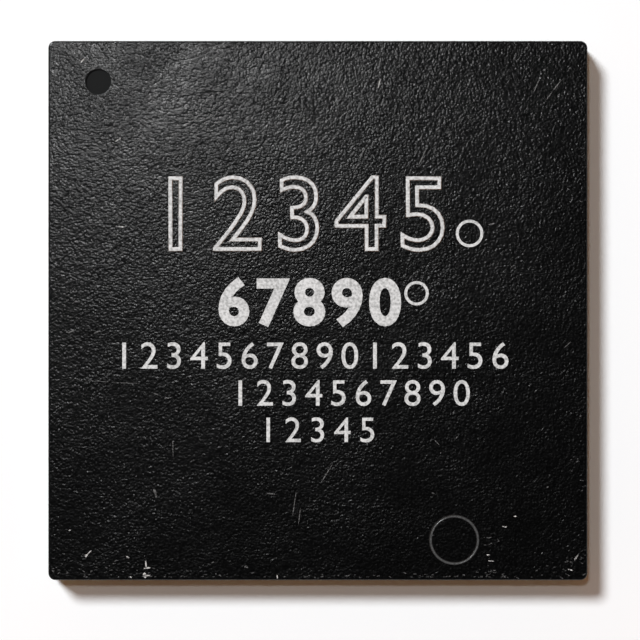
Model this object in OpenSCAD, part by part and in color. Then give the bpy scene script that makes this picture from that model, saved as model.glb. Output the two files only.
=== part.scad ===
// Plastic ball grid array package, 23 mm square, with a full 22 x 22 matrix of solder balls.
// A silicon die is glued to a four-layer laminate, wired to it with gold and moulded over.
// Origin: centre of the package on the plane that the balls stand on. +Z up, ball A1 at -X, +Y.

/* [Package] */
// Side of the square package
body_size = 23; // [22.2:0.1:31]
// Radius of the four upright corners, at the foot of the moulding
corner_r = 0.4; // [0.4:0.05:1]

/* [Solder balls] */
// Distance between neighbouring balls
ball_pitch = 1; // [0.86:0.01:1.04]
// Diameter of a solder ball
ball_d = 0.6; // [0.57:0.01:0.66]
// Height of the laminate's masked face above the board
standoff = 0.5; // [0.36:0.01:0.53]
// Gap around a ball in its mask opening
ball_gap = 0.01; // [0.005:0.005:0.03]
// How far the mask laps over the rim of a ball land
land_lap = 0.07; // [0.03:0.01:0.08]

/* [Laminate] */
// Thickness of the glass and resin core
core_t = 0.2; // [0.1:0.01:0.5]
// Thickness of each bonding layer on the core
prepreg_t = 0.14; // [0.06:0.01:0.3]
// Thickness of each copper layer
copper_t = 0.02; // [0.01:0.005:0.03]
// Thickness of each solder mask
mask_t = 0.04; // [0.035:0.005:0.06]
// Outer diameter of a plated via
via_d = 0.2; // [0.12:0.01:0.3]
// Thickness of the plating in a via
via_wall = 0.025; // [0.015:0.005:0.04]
// Diameter of the copper pad at each end of a via
via_pad_d = 0.4; // [0.32:0.01:0.44]
// Gap between an inner plane and a via that only passes through it
antipad_gap = 0.12; // [0.05:0.01:0.2]
// Gap between the die paddle and the power ring
paddle_gap = 0.2; // [0.1:0.02:0.3]
// Distance from the edge of an inner plane to the edge of the package
plane_margin = 0.4; // [0.2:0.05:0.7]

/* [Die] */
// Width of the silicon die, along X
die_w = 9.8; // [7:0.1:10.4]
// Depth of the silicon die, along Y
die_d = 9.2; // [7:0.1:10.4]
// Thickness of the silicon die
die_t = 0.3; // [0.15:0.01:0.4]
// Thickness of the adhesive under the die
glue_t = 0.03; // [0.02:0.005:0.06]
// How far the adhesive spreads beyond the die
glue_spread = 0.2; // [0.05:0.05:0.3]
// Height of the adhesive's fillet on the side of the die
glue_climb = 0.12; // [0.04:0.01:0.14]

/* [Bond wires] */
// Wires on each side of the die
wires_per_side = 48; // [8:1:56]
// Thickness of a wire
wire_t = 0.03; // [0.018:0.001:0.04]
// Height of a wire's loop above the die
loop_h = 0.24; // [0.16:0.01:0.4]
// Distance from the die's edge to its bond pads
pad_inset = 0.1; // [0.06:0.01:0.2]
// Distance from the die's corner to its first bond pad
pad_margin = 0.475; // [0.3:0.025:1]
// Distance from the corner of the finger ring to its first finger
finger_margin = 1; // [0.9:0.05:2]
// Width of a bond finger
finger_w = 0.1; // [0.06:0.01:0.12]
// Gap between the ends of a finger and the mask
finger_gap = 0.05; // [0.02:0.01:0.08]
// Mask left between the finger window and the copper beside it
mask_web = 0.03; // [0.02:0.01:0.06]

/* [Moulding] */
// Thickness of the moulding over the laminate
cap_t = 1.17; // [0.9:0.01:1.8]
// How far each wall of the moulding leans in
cap_draft = 0.1; // [0.02:0.01:0.3]
// Radius of the moulding's upper edge
cap_edge_r = 0.08; // [0.02:0.01:0.15]
// Diameter of the dimple that marks ball A1
dimple_d = 1.05; // [0.5:0.05:1.5]
// Depth of the dimple
dimple_depth = 0.08; // [0.02:0.01:0.2]
// Distance of the dimple's centre from the left wall
dimple_x = 2.22; // [1.2:0.01:3]
// Distance of the dimple's centre from the far wall
dimple_y = 1.83; // [1.2:0.01:3]
// Diameter of the round groove that the ejector pin leaves
ring_d = 2; // [1.2:0.05:2.4]
// Width of the groove
ring_w = 0.1; // [0.04:0.01:0.2]
// Distance of the groove's centre from the right wall
ring_x = 5.74; // [3:0.01:7]
// Distance of the groove's centre from the near wall
ring_y = 1.81; // [1.4:0.01:3]

/* [Hidden] */
// Rows of the matrix from the far side to the near side: I, O, Q, S, X and Z are never used
ROWS = ["a", "b", "c", "d", "e", "f", "g", "h", "j", "k", "l",
        "m", "n", "p", "r", "t", "u", "v", "w", "y", "aa", "ab"];
SIDES = ["east", "north", "west", "south"];
$fn = 24;

// Places of the balls along either axis, and how many there are
count = len(ROWS);
grid = [for (i = [0 : count - 1]) (i - (count - 1) / 2) * ball_pitch];

// A via stands over each ball. Counted in square rings from the middle, the first ones join
// the die paddle, the next one the power ring, and the rest carry signals.
ground_rings = 6;
power_ring_no = ground_rings + 1;
power_ring_size = (2 * power_ring_no - 1) * ball_pitch;
paddle_size = power_ring_size - via_pad_d - 2 * paddle_gap;

// The bond fingers stand in a window of the mask, midway between two rings of vias
finger_line = power_ring_no * ball_pitch;
window_w = ball_pitch - via_pad_d - 2 * mask_web;
finger_l = window_w - 2 * finger_gap;

// Levels, from the board up
laminate_z = standoff + mask_t;
land_z = laminate_z - copper_t;
core_z = laminate_z + prepreg_t;
core_top_z = core_z + core_t;
laminate_top_z = core_top_z + prepreg_t;
finger_top_z = laminate_top_z + copper_t;
cap_z = laminate_top_z + mask_t;
die_z = cap_z + glue_t;
die_top_z = die_z + die_t;
top_z = cap_z + cap_t;

// A ball is cut off by its land, and the mask opening follows the ball where it enters
ball_r = ball_d / 2;
opening_d = 2 * sqrt(pow(ball_r, 2) - pow(standoff - ball_r, 2)) + 2 * ball_gap;
land_d = opening_d + 2 * land_lap;

MOULDING = [0.1, 0.1, 0.11];
SILICON = [0.36, 0.38, 0.44];
ADHESIVE = [0.78, 0.76, 0.7];
GOLD = [0.86, 0.68, 0.28];
COPPER = [0.75, 0.46, 0.28];
RESIN = [0.66, 0.62, 0.4];
MASK = [0.05, 0.28, 0.17];
SOLDER = [0.74, 0.75, 0.76];

// ---- shared shapes ----

module slab(z, thickness) {
    translate([0, 0, z]) linear_extrude(thickness) children();
}

module outline() {
    square([body_size, body_size - 2 * corner_r], center = true);
    square([body_size - 2 * corner_r, body_size], center = true);
    for (x = [-1, 1], y = [-1, 1])
        translate([x, y] * (body_size / 2 - corner_r)) circle(corner_r);
}

module square_ring(size, width) {
    difference() {
        square(size + width, center = true);
        square(size - width, center = true);
    }
}

function ring_no(x, y) = round(max(abs(x), abs(y)) / ball_pitch + 0.5);

// Every ball place whose ring is one of those asked for
module at_balls(first = 1, last = count / 2) {
    for (x = grid, y = grid)
        if (ring_no(x, y) >= first && ring_no(x, y) <= last)
            translate([x, y]) children();
}

// ---- moulding ----

function arc(centre, r, from, to, steps) =
    [for (i = [0 : steps])
        let (a = from + (to - from) * i / steps)
        centre + r * [cos(a), sin(a)]];

// A leaning wall with a small round at the top, its foot at the given distance from the middle
module wall_section(foot) {
    edge = [foot - cap_draft - cap_edge_r, cap_t - cap_edge_r];
    polygon(concat([[0, 0], [foot, 0]], arc(edge, cap_edge_r, 0, 90, 4), [[0, cap_t]]));
}

// Four leaning walls that meet in conical corners
module cap_body() {
    straight = body_size - 2 * corner_r;
    translate([0, 0, cap_z])
        for (side = [0 : 3])
            rotate(90 * side) {
                rotate([90, 0, 0])
                    linear_extrude(straight, center = true) wall_section(body_size / 2);
                translate([straight / 2, straight / 2])
                    rotate_extrude() wall_section(corner_r);
            }
    // The moulding also fills the window that the mask leaves around the bond fingers
    slab(laminate_top_z, mask_t) square_ring(2 * finger_line, window_w);
}

module dimple() {
    translate([dimple_x - body_size / 2, body_size / 2 - dimple_y, top_z - dimple_depth])
        cylinder(h = 2 * dimple_depth, d = dimple_d);
}

module ejector_groove() {
    translate([body_size / 2 - ring_x, ring_y - body_size / 2, top_z])
        rotate_extrude() translate([ring_d / 2, 0]) circle(d = ring_w);
}

module mold_cap() {
    color(MOULDING)
        difference() {
            cap_body();
            dimple();
            ejector_groove();
            die();
            die_attach();
            bond_fingers();
            for (side = [0 : 3]) bond_wires(side);
        }
}

// ---- die and its wires ----

module die() {
    color(SILICON) slab(die_z, die_t) square([die_w, die_d], center = true);
}

// Section of the adhesive: a thin film that climbs the side of the die
module glue_section(width) {
    foot = width / 2 + glue_spread;
    polygon([[-foot, 0], [foot, 0], [width / 2, glue_t + glue_climb], [-width / 2, glue_t + glue_climb]]);
}

module die_attach() {
    color(ADHESIVE)
        difference() {
            intersection() {
                translate([0, 0, cap_z]) rotate([90, 0, 0])
                    linear_extrude(body_size, center = true) glue_section(die_w);
                translate([0, 0, cap_z]) rotate([90, 0, 90])
                    linear_extrude(body_size, center = true) glue_section(die_d);
            }
            slab(die_z, die_t) square([die_w, die_d], center = true);
        }
}

// Bond pad and bond finger of each wire, seen with the die's side facing +X
function wire_ends(side) =
    let (reach = (side % 2 == 0 ? die_w : die_d) / 2,
         pad_span = (side % 2 == 0 ? die_d : die_w) - 2 * pad_margin,
         finger_span = 2 * (finger_line - finger_margin))
    [for (i = [0 : wires_per_side - 1])
        let (share = i / (wires_per_side - 1) - 0.5)
        [[reach - pad_inset, share * pad_span], [finger_line, share * finger_span]]];

function direction(v) = atan2(v.y, v.x);

// A wire rises straight from its pad, runs level over the die's edge and slopes to its finger,
// where its foot is cut level. The outline is the upper side out and the lower side back.
module bond_wire(reach) {
    half = wire_t / 2;
    level = die_top_z + loop_h;
    run = 2 * pad_inset;
    slope = atan2(level - finger_top_z, reach - run);
    corner = half * tan(slope / 2);
    foot = half / sin(slope);
    rotate([90, 0, 0])
        linear_extrude(wire_t, center = true)
            polygon([
                [-half, die_top_z], [-half, level + half],
                [run + corner, level + half], [reach + foot, finger_top_z],
                [reach - foot, finger_top_z], [run - corner, level - half],
                [half, level - half], [half, die_top_z]]);
}

module bond_wires(side) {
    color(GOLD)
        rotate(90 * side)
            for (ends = wire_ends(side))
                translate(ends[0])
                    rotate(direction(ends[1] - ends[0]))
                        bond_wire(norm(ends[1] - ends[0]));
}

// ---- copper on top of the laminate ----

module paddle_shape() {
    square(paddle_size, center = true);
}

module power_ring_shape() {
    square_ring(power_ring_size, via_pad_d);
}

module top_via_pad_shapes() {
    at_balls(first = power_ring_no + 1) circle(d = via_pad_d);
}

module die_paddle() {
    color(COPPER) slab(laminate_top_z, copper_t) paddle_shape();
}

module power_ring() {
    color(COPPER) slab(laminate_top_z, copper_t) power_ring_shape();
}

module top_via_pads() {
    color(COPPER) slab(laminate_top_z, copper_t) top_via_pad_shapes();
}

// Gold-plated fingers, each in line with its wire
module bond_fingers() {
    color(GOLD)
        slab(laminate_top_z, copper_t)
            for (side = [0 : 3])
                rotate(90 * side)
                    for (ends = wire_ends(side))
                        translate(ends[1])
                            rotate(direction(ends[1] - ends[0]))
                                square([finger_l, finger_w], center = true);
}

// ---- laminate ----

module via_holes() {
    slab(standoff, cap_z - standoff) at_balls() circle(d = via_d);
}

// Inner plane: joined to the vias of its own rings, clear of all the others
module plane_shape(first, last) {
    difference() {
        square(body_size - 2 * plane_margin, center = true);
        at_balls(first, last) circle(d = via_d);
        at_balls(last = first - 1) circle(d = via_d + 2 * antipad_gap);
        at_balls(first = last + 1) circle(d = via_d + 2 * antipad_gap);
    }
}

module power_plane() {
    color(COPPER) slab(core_top_z, copper_t) plane_shape(power_ring_no, power_ring_no);
}

module ground_plane() {
    color(COPPER) slab(core_z - copper_t, copper_t) plane_shape(1, ground_rings);
}

module core_laminate() {
    color(RESIN)
        slab(core_z, core_t)
            difference() {
                outline();
                at_balls() circle(d = via_d);
            }
}

module upper_prepreg() {
    color(RESIN)
        difference() {
            slab(core_top_z, prepreg_t) outline();
            power_plane();
            via_holes();
        }
}

module lower_prepreg() {
    color(RESIN)
        difference() {
            slab(laminate_z, prepreg_t) outline();
            ground_plane();
            via_holes();
        }
}

module vias(first, last) {
    color(COPPER)
        slab(laminate_z, laminate_top_z - laminate_z)
            difference() {
                at_balls(first, last) circle(d = via_d);
                at_balls(first, last) circle(d = via_d - 2 * via_wall);
            }
}

module ball_lands() {
    color(COPPER) slab(land_z, copper_t) at_balls() circle(d = land_d);
}

module solder_mask_top() {
    color(MASK)
        difference() {
            slab(laminate_top_z, mask_t)
                difference() {
                    outline();
                    square_ring(2 * finger_line, window_w);
                }
            slab(laminate_top_z, copper_t) {
                paddle_shape();
                power_ring_shape();
                top_via_pad_shapes();
            }
        }
}

module solder_mask_bottom() {
    color(MASK)
        difference() {
            slab(standoff, mask_t) outline();
            slab(standoff, mask_t - copper_t) at_balls() circle(d = opening_d);
            slab(land_z, copper_t) at_balls() circle(d = land_d);
        }
}

// ---- solder balls ----

module ball_row(row) {
    y = grid[count - 1 - row];
    color(SOLDER)
        difference() {
            for (x = grid) translate([x, y, ball_r]) sphere(ball_r);
            slab(land_z, ball_d) square(2 * body_size, center = true);
        }
}

mold_cap();
die();
die_attach();
for (side = [0 : 3])
    bond_wires(side);
solder_mask_top();
die_paddle();
power_ring();
bond_fingers();
top_via_pads();
upper_prepreg();
power_plane();
core_laminate();
ground_plane();
lower_prepreg();
vias(1, ground_rings);  // ground_vias
vias(power_ring_no, power_ring_no);  // power_vias
vias(power_ring_no + 1, count / 2);  // signal_vias
ball_lands();
solder_mask_bottom();
for (row = [0 : count - 1])
    ball_row(row);
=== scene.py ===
# A moulded ball grid array chip, lying on its solder balls on a pale table, seen from straight above.
import math
import random

import bmesh
import bpy
from mathutils import Matrix, Vector

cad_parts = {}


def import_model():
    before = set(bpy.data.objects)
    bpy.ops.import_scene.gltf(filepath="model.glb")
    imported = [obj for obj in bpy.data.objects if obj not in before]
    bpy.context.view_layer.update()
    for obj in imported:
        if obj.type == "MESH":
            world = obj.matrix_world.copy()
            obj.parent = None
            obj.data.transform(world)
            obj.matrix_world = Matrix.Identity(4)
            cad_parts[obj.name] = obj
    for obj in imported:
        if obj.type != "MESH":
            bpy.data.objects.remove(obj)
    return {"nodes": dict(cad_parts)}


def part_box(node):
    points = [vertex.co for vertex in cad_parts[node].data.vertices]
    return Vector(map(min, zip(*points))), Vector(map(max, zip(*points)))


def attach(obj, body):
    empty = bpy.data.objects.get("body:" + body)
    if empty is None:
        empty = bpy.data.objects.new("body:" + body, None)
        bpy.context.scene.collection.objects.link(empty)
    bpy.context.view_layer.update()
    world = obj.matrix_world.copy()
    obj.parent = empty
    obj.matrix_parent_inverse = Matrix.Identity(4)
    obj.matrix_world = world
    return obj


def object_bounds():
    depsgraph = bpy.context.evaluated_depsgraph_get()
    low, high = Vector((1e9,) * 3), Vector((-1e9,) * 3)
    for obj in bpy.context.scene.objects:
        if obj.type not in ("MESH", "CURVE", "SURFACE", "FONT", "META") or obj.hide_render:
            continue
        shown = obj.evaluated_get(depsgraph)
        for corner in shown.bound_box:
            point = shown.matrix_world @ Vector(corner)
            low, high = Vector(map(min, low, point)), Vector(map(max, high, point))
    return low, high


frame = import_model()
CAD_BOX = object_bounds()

MM = 0.001
TOP = CAD_BOX[1].z
HALF = CAD_BOX[1].x


# ---- Table, light and camera -------------------------------------------------------------------
# The chip lies on a wide white table in a room with white walls. A soft key lamp stands over its far
# left corner and casts the shadow, and a weak one, nearly overhead, glances off the wrinkled skin.

TABLE_R = 3.0
CARD_NEAR = 0.03
CARD_FAR = 0.14
CARD_SHADE = (0.93, 0.95, 0.965)
CARD_WHITE = (0.95, 0.965, 0.98)
ROOM_GLOW = [(0.0, (0.42, 0.21, 0.10)), (0.5, (0.24, 0.12, 0.06)), (1.0, (0.02, 0.02, 0.02))]
WHITE_WALLS = [(0.0, 1.0), (0.35, 0.85), (0.75, 0.04), (1.0, 0.02)]


class Value:
    """A shader socket. Arithmetic on it adds Math nodes, and node() adds any other node."""

    def __init__(self, tree, socket=None):
        self.tree = tree
        self.socket = socket

    def node(self, kind, settings=None, inputs=None, out=0):
        made = self.tree.nodes.new("ShaderNode" + kind)
        for name, setting in (settings or {}).items():
            if name == "stops":
                ramp = made.color_ramp
                while len(ramp.elements) < len(setting):
                    ramp.elements.new(1.0)
                for element, (place, color) in zip(ramp.elements, setting):
                    element.position = place
                    element.color = (*color, 1.0) if isinstance(color, tuple) else (color, color, color, 1.0)
            else:
                setattr(made, name, setting)
        for name, given in (inputs or {}).items():
            if isinstance(given, Value):
                self.tree.links.new(given.socket, made.inputs[name])
            else:
                made.inputs[name].default_value = given
        return Value(self.tree, made.outputs[out])

    def math(self, operation, first, second=0.0, clamp=False):
        return self.node("Math", {"operation": operation, "use_clamp": clamp}, {0: first, 1: second})

    def __add__(self, other):
        return self.math("ADD", self, other)

    __radd__ = __add__

    def __sub__(self, other):
        return self.math("SUBTRACT", self, other)

    def __rsub__(self, other):
        return self.math("SUBTRACT", other, self)

    def __mul__(self, other):
        return self.math("MULTIPLY", self, other)

    __rmul__ = __mul__

    def __pow__(self, other):
        return self.math("POWER", self, other)

    def clamped(self):
        return self.math("ADD", self, 0.0, clamp=True)


def material(name):
    """A new material, its Principled shader, the Value that its nodes are added through, and the
    Object coordinates that its patterns read."""
    made = bpy.data.materials.new(name)
    made.use_nodes = True
    shader = made.node_tree.nodes["Principled BSDF"]
    v = Value(made.node_tree)
    return made, shader, v, v.node("TexCoord", out=3)


def plug(shader, name, value):
    shader.id_data.links.new(value.socket, shader.inputs[name])


def noise(v, place, scale, detail, out=0):
    """Cloudy noise, whose scale is about the number of its lumps in a metre."""
    return v.node("TexNoise", None, {"Vector": place, "Scale": scale, "Detail": detail}, out)


def fade(v, given, low, high, start=0.0, end=1.0):
    """Start where the given value is low or less, and end where it is high or more."""
    return v.node("MapRange", None, {0: given, 1: low, 2: high, 3: start, 4: end})


def blend(v, share, first, second):
    """The first colour where the share is 0, and the second where it is 1."""
    first, second = ((*each, 1) if isinstance(each, tuple) else each for each in (first, second))
    return v.node("Mix", {"data_type": "RGBA"}, {0: share, 6: first, 7: second}, out=2)


def own_object(name, bm, finish):
    """Turns a finished bmesh into an object of the scene."""
    mesh = bpy.data.meshes.new(name)
    bm.to_mesh(mesh)
    bm.free()
    mesh.materials.append(finish)
    made = bpy.data.objects.new(name, mesh)
    bpy.context.scene.collection.objects.link(made)
    return made


def seen(v):
    """1 for what the camera sees straight or by a reflection or through glass, 0 for what lights."""
    ray = v.node("LightPath").socket.node
    straight, glossy, through = (Value(v.tree, ray.outputs[name])
                                 for name in ("Is Camera Ray", "Is Glossy Ray", "Is Transmission Ray"))
    return (straight + glossy + through).clamped()


def table_material():
    """White card, which far from the chip fades into the white of the walls."""
    made, shader, v, place = material("table_white")
    cloud = noise(v, place, scale=8.0, detail=2.0)
    plug(shader, "Base Color", blend(v, cloud, CARD_SHADE, CARD_WHITE))
    shader.inputs["Roughness"].default_value = 0.9
    shader.inputs["Specular IOR Level"].default_value = 0.1
    glow = v.node("Emission", None, {"Color": (1, 1, 1, 1), "Strength": 1.0})
    away = v.node("VectorMath", {"operation": "LENGTH"}, {0: place}, out=1)
    white = fade(v, away, CARD_NEAR, CARD_FAR) * seen(v)
    both = v.node("MixShader", None, {0: white, 1: Value(v.tree, shader.outputs[0]), 2: glow})
    v.tree.links.new(both.socket, v.tree.nodes["Material Output"].inputs["Surface"])
    return made


def table():
    bm = bmesh.new()
    bmesh.ops.create_circle(bm, cap_ends=True, segments=64, radius=TABLE_R)
    own_object("table", bm, table_material())


def world():
    """A warm room that is dark overhead. What the camera or a shiny face sees of it is white walls."""
    made = bpy.data.worlds.new("studio")
    made.use_nodes = True
    v = Value(made.node_tree)
    up = v.node("SeparateXYZ", None, {0: v.node("TexCoord")}, out=2)
    room = v.node("ValToRGB", {"stops": ROOM_GLOW}, {0: up})
    walls = v.node("ValToRGB", {"stops": WHITE_WALLS}, {0: up})
    plug(made.node_tree.nodes["Background"], "Color", blend(v, seen(v), room, walls))
    bpy.context.scene.world = made


def lamp(name, place, size, power, color):
    """A round lamp that faces the middle of the table."""
    light = bpy.data.lights.new(name, "AREA")
    light.shape = "DISK"
    light.size = size
    light.energy = power
    light.color = color
    made = bpy.data.objects.new(name, light)
    made.location = place
    made.rotation_euler = (-Vector(place)).to_track_quat("-Z", "Y").to_euler()
    bpy.context.scene.collection.objects.link(made)


def camera(height, width, centre):
    """Looks straight down from the given height; the frame is width across at the chip's top."""
    made = bpy.data.cameras.new("camera")
    made.sensor_width = 36.0
    made.lens = made.sensor_width * (height - TOP) / width
    made.clip_start = 0.001
    made.clip_end = 10
    there = bpy.data.objects.new("camera", made)
    there.location = (centre[0], centre[1], height)
    bpy.context.scene.collection.objects.link(there)
    bpy.context.scene.camera = there


table()
world()
lamp("key_lamp", place=(-0.190, 0.215, 0.46), size=0.12, power=2.90, color=(0.965, 1.0, 1.025))
lamp("gloss_lamp", place=(-0.0245, 0.0465, 0.28), size=0.016, power=0.095, color=(1.0, 1.0, 1.0))
camera(height=0.120, width=27.05 * MM, centre=(0.09 * MM, -0.40 * MM))
bpy.context.scene.view_settings.view_transform = "Standard"


# ---- Mould cap ---------------------------------------------------------------------------------
# Black epoxy with a fine glass filler, moulded in one shot over the die and the laminate. Its skin
# is wrinkled like leather where it came off the release film, and the wrinkles come and go.

# The dimple and the ejector's ring are each given by x, y and radius.
DIMPLE = (2.22 * MM - HALF, HALF - 1.83 * MM, 0.525 * MM)
DIMPLE_RIM = 0.03 * MM
EJECTOR = (HALF - 5.74 * MM, 1.81 * MM - HALF, 1.0 * MM)
EJECTOR_LINE = 0.03 * MM
EJECTOR_EDGE = 0.065 * MM
WRINKLE_BEND = 0.25 * MM
WRINKLE_DEPTH = 0.0095 * MM
SKIN_BLACK = (0.0008, 0.0008, 0.00085)
FILLER_GREY = (0.012, 0.012, 0.0125)
POLISHED_GREY = (0.085, 0.085, 0.085)
DIMPLE_BLACK = (0.004, 0.0042, 0.0042)


def dress(finish, *names):
    """Gives CAD nodes their finish."""
    for name in names:
        data = frame["nodes"][name].data
        data.materials.clear()
        data.materials.append(finish)


def relief(v, shader, height, strength, depth):
    """Gives the shader a skin that rises by the depth where the height goes from 0 to 1."""
    plug(shader, "Normal", v.node("Bump", None, {"Strength": strength, "Distance": depth, "Height": height}))


def away_from(v, place, centre):
    """How far a point of the cap is from an upright line through the centre."""
    flat = v.node("VectorMath", {"operation": "MULTIPLY"}, {0: place, 1: (1, 1, 0)})
    return v.node("VectorMath", {"operation": "DISTANCE"}, {0: flat, 1: (centre[0], centre[1], 0)}, out=1)


def moulding_material():
    made, shader, v, place = material("moulding_black")
    drift = noise(v, place, scale=1800.0, detail=2.0, out=1)
    bent = v.node("VectorMath", {"operation": "MULTIPLY_ADD"}, {0: drift, 1: (WRINKLE_BEND,) * 3, 2: place})
    ridges = v.node("TexNoise", {"noise_type": "RIDGED_MULTIFRACTAL"},
                    {"Vector": bent, "Scale": 3600.0, "Detail": 1.0, "Roughness": 0.6,
                     "Lacunarity": 2.1, "Offset": 1.0, "Gain": 2.0})
    grain = noise(v, place, scale=11500.0, detail=0.0)
    patch = noise(v, place, scale=420.0, detail=2.0)
    swell = noise(v, place, scale=900.0, detail=0.0)
    in_dimple = fade(v, away_from(v, place, DIMPLE), DIMPLE[2], DIMPLE[2] + DIMPLE_RIM, start=1.0, end=0.0)
    strong = fade(v, patch, 0.36, 0.64, start=0.7, end=1.2) * (1 - in_dimple * 0.92)
    wrinkle = (ridges * 0.35 + grain + swell * 0.05) * strong
    relief(v, shader, wrinkle, strength=1.0, depth=WRINKLE_DEPTH)

    filler = v.node("TexVoronoi", {"feature": "F1"}, {"Vector": place, "Scale": 5200.0})
    fleck = fade(v, filler, 0.05, 0.16, start=1.0, end=0.0)
    off_ring = v.math("ABSOLUTE", away_from(v, place, EJECTOR) - EJECTOR[2])
    on_ring = fade(v, off_ring, EJECTOR_LINE, EJECTOR_EDGE, start=1.0, end=0.0)
    polish = on_ring * (grain * 0.9 + 0.4)
    tone = blend(v, fleck * patch, SKIN_BLACK, FILLER_GREY)
    tone = blend(v, polish.clamped(), tone, POLISHED_GREY)
    tone = blend(v, in_dimple, tone, DIMPLE_BLACK)
    plug(shader, "Base Color", tone)
    plug(shader, "Roughness", (patch * 0.06 + grain * 0.14 + 0.11) * (1 - in_dimple) + in_dimple * 0.8)
    shader.inputs["Specular IOR Level"].default_value = 0.2
    return made


dress(moulding_material(), "mold_cap")


# ---- White marking -----------------------------------------------------------------------------
# Plain counting numbers and rings in white ink, pad printed on the cap's top and cured. The ink is a
# film a few thousandths of a millimetre thick, with a fine grain of its own and thin spots.

INK_T = 0.006 * MM
STROKE = 0.18 * MM
RING_STROKE = 0.12 * MM
WELD = 0.0001 * MM
FONT_SHARE = 0.70
INK_FULL = (0.69, 0.705, 0.71)
INK_THIN = (0.36, 0.37, 0.37)


def ink_material():
    made, shader, v, place = material("marking_ink")
    grain = noise(v, place, scale=9000.0, detail=1.0)
    patch = noise(v, place, scale=900.0, detail=2.0)
    thin = fade(v, grain * 0.7 + patch * 0.3, 0.34, 0.60, start=1.0, end=0.0)
    plug(shader, "Base Color", blend(v, thin, INK_FULL, INK_THIN))
    relief(v, shader, grain, strength=0.6, depth=0.008 * MM)
    shader.inputs["Roughness"].default_value = 0.6
    shader.inputs["Specular IOR Level"].default_value = 0.2
    return made


INK = ink_material()


def cap_piece(name, bm, finish):
    """A piece of the scene's own, lying on the cap."""
    made = own_object(name, bm, finish)
    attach(made, "root")


def digit_mesh(name, digit, size, outlined, bold):
    """One number, with its foot on the middle; it is FONT_SHARE of its font's size high."""
    letter = bpy.data.curves.new(name, "FONT")
    letter.body = digit
    letter.size = size / FONT_SHARE
    letter.align_x = "CENTER"
    letter.resolution_u = 5
    if outlined:
        letter.fill_mode = "NONE"
        letter.bevel_depth = STROKE / 2
        letter.bevel_resolution = 1
    else:
        letter.extrude = INK_T / 2
        letter.offset = bold
    source = bpy.data.objects.new(name, letter)
    bpy.context.scene.collection.objects.link(source)
    bpy.context.view_layer.update()
    view = bpy.context.evaluated_depsgraph_get()
    mesh = bpy.data.meshes.new_from_object(source.evaluated_get(view))
    bpy.data.objects.remove(source)
    if outlined:
        mesh.transform(Matrix.Diagonal((1, 1, INK_T / STROKE, 1)))
    return mesh


def digits(name, text, size, centre, pitch, outlined=False, bold=0.0):
    """A row of numbers at an even pitch, solid or in outline; size is the height of a number."""
    bm = bmesh.new()
    for i, digit in enumerate(text):
        mesh = digit_mesh(name, digit, size, outlined, bold)
        left = (i - (len(text) - 1) / 2) * pitch
        mesh.transform(Matrix.Translation((centre[0] + left, centre[1] - size / 2, TOP + INK_T / 2)))
        bm.from_mesh(mesh)
    bmesh.ops.remove_doubles(bm, verts=bm.verts, dist=WELD)
    cap_piece(name, bm, INK)


def ring(name, centre, across):
    """A flat printed ring, this far across outside."""
    bm = bmesh.new()
    bmesh.ops.create_circle(bm, cap_ends=False, segments=64, radius=across / 2)
    grown = bmesh.ops.extrude_edge_only(bm, edges=bm.edges[:])["geom"]
    inner = [part for part in grown if isinstance(part, bmesh.types.BMVert)]
    bmesh.ops.scale(bm, verts=inner, vec=((across - 2 * RING_STROKE) / across,) * 2 + (1,))
    # the extrusion's faces come in any order, so they are put in order round the ring
    bm.faces.sort(key=lambda face: math.atan2(*face.calc_center_median().yx))
    bmesh.ops.translate(bm, verts=bm.verts, vec=(centre[0], centre[1], TOP + INK_T))
    bmesh.ops.recalc_face_normals(bm, faces=bm.faces)
    if bm.faces[0].normal.z < 0:
        bmesh.ops.reverse_faces(bm, faces=bm.faces)
    cap_piece(name, bm, INK)


digits("marking_large", "12345", size=3.07 * MM, centre=(-0.78 * MM, 4.13 * MM), pitch=2.62 * MM,
       outlined=True)
digits("marking_bold", "67890", size=1.87 * MM, centre=(-0.36 * MM, 0.38 * MM), pitch=1.60 * MM,
       bold=0.09 * MM)
digits("marking_row_1", "1234567890123456", size=1.13 * MM, centre=(-0.24 * MM, -1.89 * MM), pitch=1.06 * MM)
digits("marking_row_2", "1234567890", size=1.10 * MM, centre=(1.40 * MM, -3.47 * MM), pitch=1.04 * MM)
digits("marking_row_3", "12345", size=1.06 * MM, centre=(0.0 * MM, -5.03 * MM), pitch=1.05 * MM)
ring("marking_ring_large", centre=(6.41 * MM, 3.26 * MM), across=1.16 * MM)
ring("marking_ring_small", centre=(4.17 * MM, 0.73 * MM), across=1.03 * MM)


# ---- Wear and painted glints -------------------------------------------------------------------
# Handling has left scratches on the cap and knocked crumbs off its front edge. A scratch is a sliver of
# crushed epoxy, a chip or a deep nick shows the pale filler, and a rubbed line has lost its skin. Some
# pale slivers are painted glints of bright ridges in the skin, and the pale of the deep nicks on the far
# half is partly painted glint, where their walls catch the lamp.

WEAR_T = 0.002 * MM
FLAKE_REACH = 0.4
FLAKE_FILL = 0.85
FLAKE_RAGGED = (0.6, 1.15)

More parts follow.
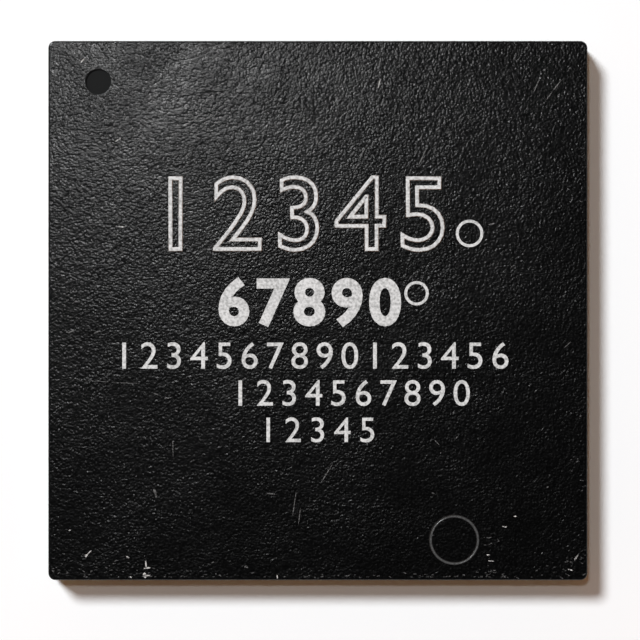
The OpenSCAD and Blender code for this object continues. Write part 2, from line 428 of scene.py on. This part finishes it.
# Start x and y, end x and y, and width, in millimetres from the cap's middle.
PALE_SCRATCHES_AND_RIDGE_GLINTS = [
    # far left, round the dimple and down the left side
    (-8.86, 9.28, -8.74, 9.42, 0.04), (-8.33, 5.30, -8.58, 5.11, 0.07),
    (-3.66, 11.12, -3.58, 11.08, 0.08), (-9.48, -0.96, -9.17, -0.84, 0.06),
    (-10.55, -0.93, -10.30, -0.85, 0.05),
    # far right, where some slivers are painted glints of bright ridges in the skin
    (10.30, 9.76, 9.90, 9.25, 0.06), (9.92, 9.28, 9.68, 8.93, 0.045),
    (10.68, 10.30, 10.54, 10.10, 0.06), (9.38, 9.84, 9.12, 9.22, 0.045),
    (6.43, 9.68, 6.30, 9.42, 0.045), (0.86, 9.02, 0.90, 8.90, 0.08),
    (3.80, 8.28, 3.58, 8.04, 0.07), (5.62, 7.56, 5.50, 7.34, 0.07),
    (4.44, 7.50, 4.28, 7.18, 0.045), (4.56, 6.79, 4.24, 6.10, 0.075),
    (2.08, 7.05, 1.78, 6.45, 0.05), (1.74, 6.28, 1.48, 5.78, 0.05),
    (-0.08, 7.25, 0.02, 7.05, 0.08), (7.20, 3.62, 7.50, 3.70, 0.07),
    (8.18, 1.84, 8.34, 1.93, 0.06), (10.73, -1.28, 10.40, -1.59, 0.05),
    # near left, with one long faint line
    (-10.0, -2.93, -8.75, -3.03, 0.03), (-8.80, -3.03, -7.40, -3.09, 0.025),
    (-6.97, -3.48, -6.65, -3.60, 0.06), (-6.52, -3.74, -6.20, -3.67, 0.06),
    (-6.05, -4.20, -5.93, -4.28, 0.07), (-6.13, -5.54, -6.12, -6.20, 0.045),
    (-6.93, -7.52, -6.84, -7.90, 0.12), (-9.15, -5.18, -8.95, -5.16, 0.05),
    (-3.08, -10.83, -2.98, -10.83, 0.13),
    # near middle and near right
    (-0.90, -7.54, -1.07, -8.70, 0.045), (-0.72, -8.24, -0.83, -9.07, 0.05),
    (-2.15, -7.73, -1.79, -7.76, 0.05), (0.62, -6.50, 0.05, -7.40, 0.05),
    (5.94, -5.28, 5.76, -5.48, 0.04), (4.92, -5.46, 5.13, -5.68, 0.05),
    (4.84, -7.70, 4.91, -7.74, 0.07), (9.68, -7.46, 9.74, -7.46, 0.06),
    (7.60, -9.74, 7.66, -9.74, 0.05)]
DARK_SCRATCHES = [
    # far right, where the first three make one long line
    (7.95, 5.66, 9.10, 5.56, 0.04), (9.00, 5.56, 10.05, 5.44, 0.08),
    (10.00, 5.45, 10.90, 5.22, 0.06), (10.06, 7.25, 9.97, 6.79, 0.10),
    # far left, one long line in three parts
    (-6.80, 9.13, -5.90, 9.14, 0.04), (-5.35, 9.17, -3.75, 9.29, 0.07),
    (-3.70, 9.22, -2.60, 9.17, 0.04),
    # right of the middle, and one near left
    (3.03, 10.51, 2.90, 10.00, 0.06), (7.20, 7.98, 8.20, 7.88, 0.04),
    (7.90, 1.62, 9.60, 1.55, 0.05), (-6.42, -5.00, -6.52, -5.42, 0.12)]
CHIPS_AND_NICK_GLINTS = [
    # near left corner and front edge
    (-9.83, -10.40, -9.74, -10.30, 0.15), (-9.76, -10.32, -9.56, -10.12, 0.05),
    (-10.52, -9.30, -10.46, -9.27, 0.08), (-8.10, -10.38, -7.98, -10.46, 0.08),
    (-7.28, -10.55, -7.26, -10.90, 0.08), (-7.36, -10.90, -7.06, -10.86, 0.07),
    (-7.36, -11.10, -7.28, -11.32, 0.18), (-7.42, -11.24, -7.10, -11.18, 0.06),
    (-7.96, -11.24, -7.86, -11.29, 0.06), (-1.73, -11.20, -1.71, -11.30, 0.09),
    # near right corner
    (8.28, -8.70, 8.40, -8.70, 0.10), (7.80, -9.12, 7.98, -9.16, 0.07),
    (7.12, -10.32, 7.26, -10.33, 0.07), (7.22, -10.57, 7.42, -10.60, 0.06),
    (10.98, -10.36, 10.84, -10.56, 0.09), (10.58, -10.93, 10.78, -10.98, 0.06),
    # deep nicks on the far half, whose pale is partly the filler and partly a painted glint of their walls
    (-9.88, 10.64, -10.04, 10.46, 0.06), (-8.33, 7.29, -8.56, 7.14, 0.055),
    (-8.46, 3.55, -8.12, 3.54, 0.07), (2.64, 9.78, 2.52, 9.34, 0.05)]

# Middle x and y and the spread along x, in millimetres, and the number of crumbs.
RUBS = [
    (-4.2, -11.22, 0.5, 10), (4.4, -11.26, 0.5, 12), (7.2, -11.28, 0.9, 26), (-9.4, -10.95, 1.6, 34),
    (10.9, -10.5, 0.35, 12), (10.5, -11.0, 0.5, 12), (7.25, -11.0, 0.25, 12), (7.2, -9.7, 0.15, 6),
    (-0.9, -11.3, 0.8, 8), (1.6, -11.3, 1.2, 10), (-6.2, -11.2, 0.6, 10), (11.1, -7.5, 0.15, 5),
    (11.0, -4.4, 0.06, 3), (10.9, -6.4, 0.10, 6), (11.05, 6.7, 0.10, 4), (10.8, 4.6, 0.08, 3)]
CRUMB_SPREAD_Y = 0.16
CRUMB_LENGTH = (0.03, 0.16)
CRUMB_WIDTH = (0.025, 0.06)
CRUMB_TURN = 0.6
CRUMB_MARGIN = 0.24


def wear_material(name, pale, deep, rough, depth):
    """Broken skin, and painted glints: grains of a pale tone between grains of a deep one."""
    made, shader, v, place = material(name)
    grain = noise(v, place, scale=13000.0, detail=1.0)
    broken = fade(v, grain, 0.40, 0.58)
    plug(shader, "Base Color", blend(v, broken, deep, pale))
    relief(v, shader, grain, strength=0.8, depth=depth)
    shader.inputs["Roughness"].default_value = rough
    shader.inputs["Specular IOR Level"].default_value = 0.15
    return made


def sliver(bm, chance, start_x, start_y, end_x, end_y, width):
    """A ragged flake along a line on the cap's top, reaching a little past its ends; all in mm."""
    line = Vector((end_x - start_x, end_y - start_y, 0)) * MM
    middle = Vector(((start_x + end_x) / 2 * MM, (start_y + end_y) / 2 * MM, TOP + WEAR_T))
    turn = Matrix.Rotation(math.atan2(line.y, line.x), 4, "Z")
    grow = Matrix.Diagonal((line.length + width * MM * FLAKE_REACH, width * MM * FLAKE_FILL, 1, 1))
    flake = bmesh.ops.create_circle(bm, cap_ends=True, segments=12, radius=0.5)["verts"]
    for vert in flake:
        vert.co *= chance.uniform(*FLAKE_RAGGED)
    bmesh.ops.transform(bm, matrix=Matrix.Translation(middle) @ turn @ grow, verts=flake)


def wear(name, lines, finish, seed):
    chance = random.Random(seed)
    bm = bmesh.new()
    for line in lines:
        sliver(bm, chance, *line)
    cap_piece(name, bm, finish)


def crumbs(seed):
    """Short flakes scattered round each rubbed place, none past the cap's edge."""
    chance = random.Random(seed)
    lines = []
    edge = HALF / MM - CRUMB_MARGIN
    for x, y, spread, count in RUBS:
        for _ in range(count):
            across = min(max(x + chance.gauss(0, spread), -edge), edge)
            up = max(y + chance.gauss(0, CRUMB_SPREAD_Y), -edge)
            length = chance.uniform(*CRUMB_LENGTH)
            turn = chance.uniform(-CRUMB_TURN, CRUMB_TURN)
            end_x = across + length * math.cos(turn)
            end_y = up + length * math.sin(turn)
            lines.append((across, up, end_x, end_y, chance.uniform(*CRUMB_WIDTH)))
    return lines


# The pale slivers are scratches, and some are painted glints of bright ridges in the skin.
SCRATCH_AND_GLINT_PALE = wear_material("scratch_and_painted_glint", (0.16, 0.16, 0.16), (0.02, 0.02, 0.02), rough=0.4, depth=0.01 * MM)
wear("scratches_and_painted_glints", PALE_SCRATCHES_AND_RIDGE_GLINTS, SCRATCH_AND_GLINT_PALE, seed=3)
GOUGED = wear_material("gouged", (0.004, 0.004, 0.004), (0.001, 0.001, 0.001), rough=0.8, depth=0.01 * MM)
wear("scratches_dark", DARK_SCRATCHES, GOUGED, seed=5)
# The pale chips show the filler, and on the far half they also paint the glint of the nicks' walls.
CHIP_AND_GLINT_PALE = wear_material("chip_and_painted_glint", (0.60, 0.59, 0.58), (0.14, 0.14, 0.14), rough=0.6, depth=0.02 * MM)
wear("chips_and_painted_glints", CHIPS_AND_NICK_GLINTS, CHIP_AND_GLINT_PALE, seed=7)
RUBBED = wear_material("rubbed", (0.10, 0.10, 0.10), (0.012, 0.012, 0.012), rough=0.5, depth=0.01 * MM)
wear("crumbs_dull", crumbs(seed=11), RUBBED, seed=13)


# ---- Laminate ----------------------------------------------------------------------------------
# Glass cloth in tan resin, pressed in three layers with copper between them. The sawn edge shows
# the cut yarns of the cloth as pale waves in the resin.

RESIN = (0.265, 0.19, 0.085)
YARN = (0.42, 0.355, 0.21)
CORE_RESIN = (0.24, 0.17, 0.075)
CORE_YARN = (0.39, 0.33, 0.19)
WAVES_PER_MM = 9.0
LAYERS_PER_MM = 62.0
SAW_STRETCH = (1, 1, 0.08)


def split(v, place):
    """The x, y and z of a place."""
    parts = v.node("SeparateXYZ", None, {0: place}).socket.node
    return [Value(v.tree, each) for each in parts.outputs]


def laminate_material(name, yarn, resin, lift):
    """Wavy layers of yarn in resin; the lift moves the waves, so that no two layers match."""
    made, shader, v, place = material(name)
    x, y, z = split(v, place)
    wave = v.math("SINE", (x + y) * (1 / MM) * WAVES_PER_MM + lift)
    layer = v.math("SINE", z * (1 / MM) * LAYERS_PER_MM + wave * 1.4)
    cloth = noise(v, place, scale=3800.0, detail=2.0)
    pale = (layer * 0.5 + 0.5 + (cloth - 0.5) * 0.9).clamped()
    plug(shader, "Base Color", blend(v, pale, resin, yarn))
    sawn = v.node("VectorMath", {"operation": "MULTIPLY"}, {0: place, 1: SAW_STRETCH})
    saw = noise(v, sawn, scale=14000.0, detail=1.0)
    relief(v, shader, saw + cloth * 0.5, strength=0.7, depth=0.012 * MM)
    plug(shader, "Roughness", pale * 0.2 + 0.45)
    shader.inputs["Specular IOR Level"].default_value = 0.3
    return made


dress(laminate_material("laminate_upper", YARN, RESIN, lift=0.0), "upper_prepreg")
dress(laminate_material("laminate_core", CORE_YARN, CORE_RESIN, lift=1.3), "core_laminate")
dress(laminate_material("laminate_lower", YARN, RESIN, lift=2.6), "lower_prepreg")


# ---- Solder mask -------------------------------------------------------------------------------
# Green lacquer, cured by light, over both faces of the laminate and opened over each land. It looks
# paler over the rim of a land, where the copper shines through.

PITCH = 1.0 * MM
WHOLE_PITCHES = 20.0
LAND_SHARE = 0.30
LAND_FADE = 0.315
MASK_DARK = (0.006, 0.060, 0.022)
MASK_GREEN = (0.012, 0.105, 0.040)
MASK_ON_COPPER = (0.045, 0.24, 0.085)


def over_lands(v, place):
    """1 over each land and 0 between them. Whole pitches are added so that no place is under 0."""
    x, y = split(v, place)[:2]
    u, w = (v.math("FRACT", each * (1 / PITCH) + WHOLE_PITCHES) - 0.5 for each in (x, y))
    far = (u * u + w * w) ** 0.5
    outermost = v.math("MAXIMUM", v.math("ABSOLUTE", x), v.math("ABSOLUTE", y))
    in_grid = v.math("LESS_THAN", outermost, HALF - PITCH / 2)
    return fade(v, far, LAND_SHARE, LAND_FADE, start=1.0, end=0.0) * in_grid


def mask_material(name, with_lands):
    made, shader, v, place = material(name)
    cloud = noise(v, place, scale=700.0, detail=3.0)
    tone = blend(v, cloud, MASK_DARK, MASK_GREEN)
    if with_lands:
        tone = blend(v, over_lands(v, place), tone, MASK_ON_COPPER)
    plug(shader, "Base Color", tone)
    relief(v, shader, noise(v, place, scale=5000.0, detail=1.0), strength=0.4, depth=0.008 * MM)
    plug(shader, "Roughness", cloud * 0.15 + 0.25)
    return made


dress(mask_material("mask_top", with_lands=False), "solder_mask_top")
dress(mask_material("mask_bottom", with_lands=True), "solder_mask_bottom")


# ---- Copper, gold and vias ---------------------------------------------------------------------
# Etched copper foils with plated through holes between them. What the wires land on is plated with
# nickel and gold, and so are the paddle and the ring round the die.

GRAIN_TO_TARNISH = 14


def metal_material(name, bright, dull, rough, tarnish, depth):
    """A metal whose colour and gloss drift between a bright and a dull state."""
    made, shader, v, place = material(name)
    drift = noise(v, place, scale=tarnish, detail=3.0)
    grain = noise(v, place, scale=tarnish * GRAIN_TO_TARNISH, detail=1.0)
    dulled = fade(v, drift, 0.35, 0.7)
    plug(shader, "Base Color", blend(v, dulled, bright, dull))
    plug(shader, "Roughness", dulled * 0.18 + grain * 0.06 + rough)
    relief(v, shader, grain, strength=0.5, depth=depth)
    shader.inputs["Metallic"].default_value = 1.0
    return made


COPPER = metal_material("copper_foil", (0.80, 0.36, 0.20), (0.42, 0.16, 0.08), rough=0.30,
                        tarnish=900.0, depth=0.004 * MM)
dress(COPPER, "ground_plane", "power_plane", "ball_lands", "top_via_pads")
dress(COPPER, "ground_vias", "power_vias", "signal_vias")
GOLD = metal_material("gold_plate", (0.95, 0.66, 0.27), (0.80, 0.50, 0.18), rough=0.26,
                      tarnish=1200.0, depth=0.003 * MM)
dress(GOLD, "die_paddle", "power_ring", "bond_fingers")
WIRE = metal_material("gold_wire", (1.00, 0.72, 0.30), (0.90, 0.60, 0.22), rough=0.16,
                      tarnish=2500.0, depth=0.001 * MM)
dress(WIRE, "bond_wires_east", "bond_wires_north", "bond_wires_west", "bond_wires_south")


# ---- Die and its adhesive ----------------------------------------------------------------------
# A silicon chip whose face is a grid of logic blocks under glassy film, glued to the paddle with
# silver-filled epoxy.

BLOCK_BLUE = (0.10, 0.13, 0.20, 1)
BLOCK_VIOLET = (0.20, 0.16, 0.26, 1)
BLOCK_GAP = (0.34, 0.36, 0.33, 1)
SILICON = (0.19, 0.20, 0.22)
FACE_T = 0.02 * MM
EPOXY_DULL = (0.42, 0.42, 0.40)
EPOXY_BRIGHT = (0.66, 0.66, 0.64)


def die_material():
    made, shader, v, place = material("silicon_die")
    z = split(v, place)[2]
    die_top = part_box("die")[1].z
    blocks = v.node("TexBrick", {"offset": 0.0},
                    {"Vector": place, "Color1": BLOCK_BLUE, "Color2": BLOCK_VIOLET, "Mortar": BLOCK_GAP,
                     "Scale": 1000.0, "Mortar Size": 0.02, "Brick Width": 0.49, "Row Height": 0.46})
    cells = v.node("TexVoronoi", {"distance": "CHEBYCHEV"}, {"Vector": place, "Scale": 24000.0}, out=1)
    face = v.node("Mix", {"data_type": "RGBA", "blend_type": "OVERLAY"},
                  {0: 0.35, 6: blocks, 7: cells}, out=2)
    on_top = v.math("GREATER_THAN", z, die_top - FACE_T)
    plug(shader, "Base Color", blend(v, on_top, SILICON, face))
    relief(v, shader, cells, strength=0.3, depth=0.003 * MM)
    shader.inputs["Metallic"].default_value = 0.75
    shader.inputs["Roughness"].default_value = 0.22
    return made


def adhesive_material():
    made, shader, v, place = material("silver_epoxy")
    flake = v.node("TexVoronoi", None, {"Vector": place, "Scale": 16000.0}, out=1)
    lump = noise(v, place, scale=3000.0, detail=2.0)
    plug(shader, "Base Color", blend(v, lump, EPOXY_DULL, EPOXY_BRIGHT))
    plug(shader, "Metallic", lump * 0.8)
    relief(v, shader, flake, strength=0.6, depth=0.006 * MM)
    shader.inputs["Roughness"].default_value = 0.45
    return made


dress(die_material(), "die")
dress(adhesive_material(), "die_attach")


# ---- Solder balls ------------------------------------------------------------------------------
# Tin-lead balls, reflowed onto the lands in a full grid. Each is bright, with a faint grain where
# its tin froze, and a little duller or warmer than the next.

SOLDER_BRIGHT = (0.82, 0.82, 0.84)
SOLDER_DULL = (0.56, 0.55, 0.55)


def solder_material():
    made, shader, v, place = material("solder_bright")
    pitches = v.node("VectorMath", {"operation": "MULTIPLY"}, {0: place, 1: (1 / PITCH, 1 / PITCH, 0)})
    which_ball = v.node("VectorMath", {"operation": "FLOOR"}, {0: pitches})
    own = v.node("TexWhiteNoise", None, {"Vector": which_ball})
    frost = noise(v, place, scale=6000.0, detail=2.0)
    grain = v.node("TexVoronoi", {"feature": "F1"}, {"Vector": place, "Scale": 14000.0})
    film = (own * 0.5 + frost * 0.6).clamped()
    plug(shader, "Base Color", blend(v, film, SOLDER_BRIGHT, SOLDER_DULL))
    plug(shader, "Roughness", film * 0.22 + 0.16)
    relief(v, shader, grain + frost, strength=0.35, depth=0.004 * MM)
    shader.inputs["Metallic"].default_value = 1.0
    return made


dress(solder_material(), *[name for name in frame["nodes"] if name.startswith("ball_row_")])
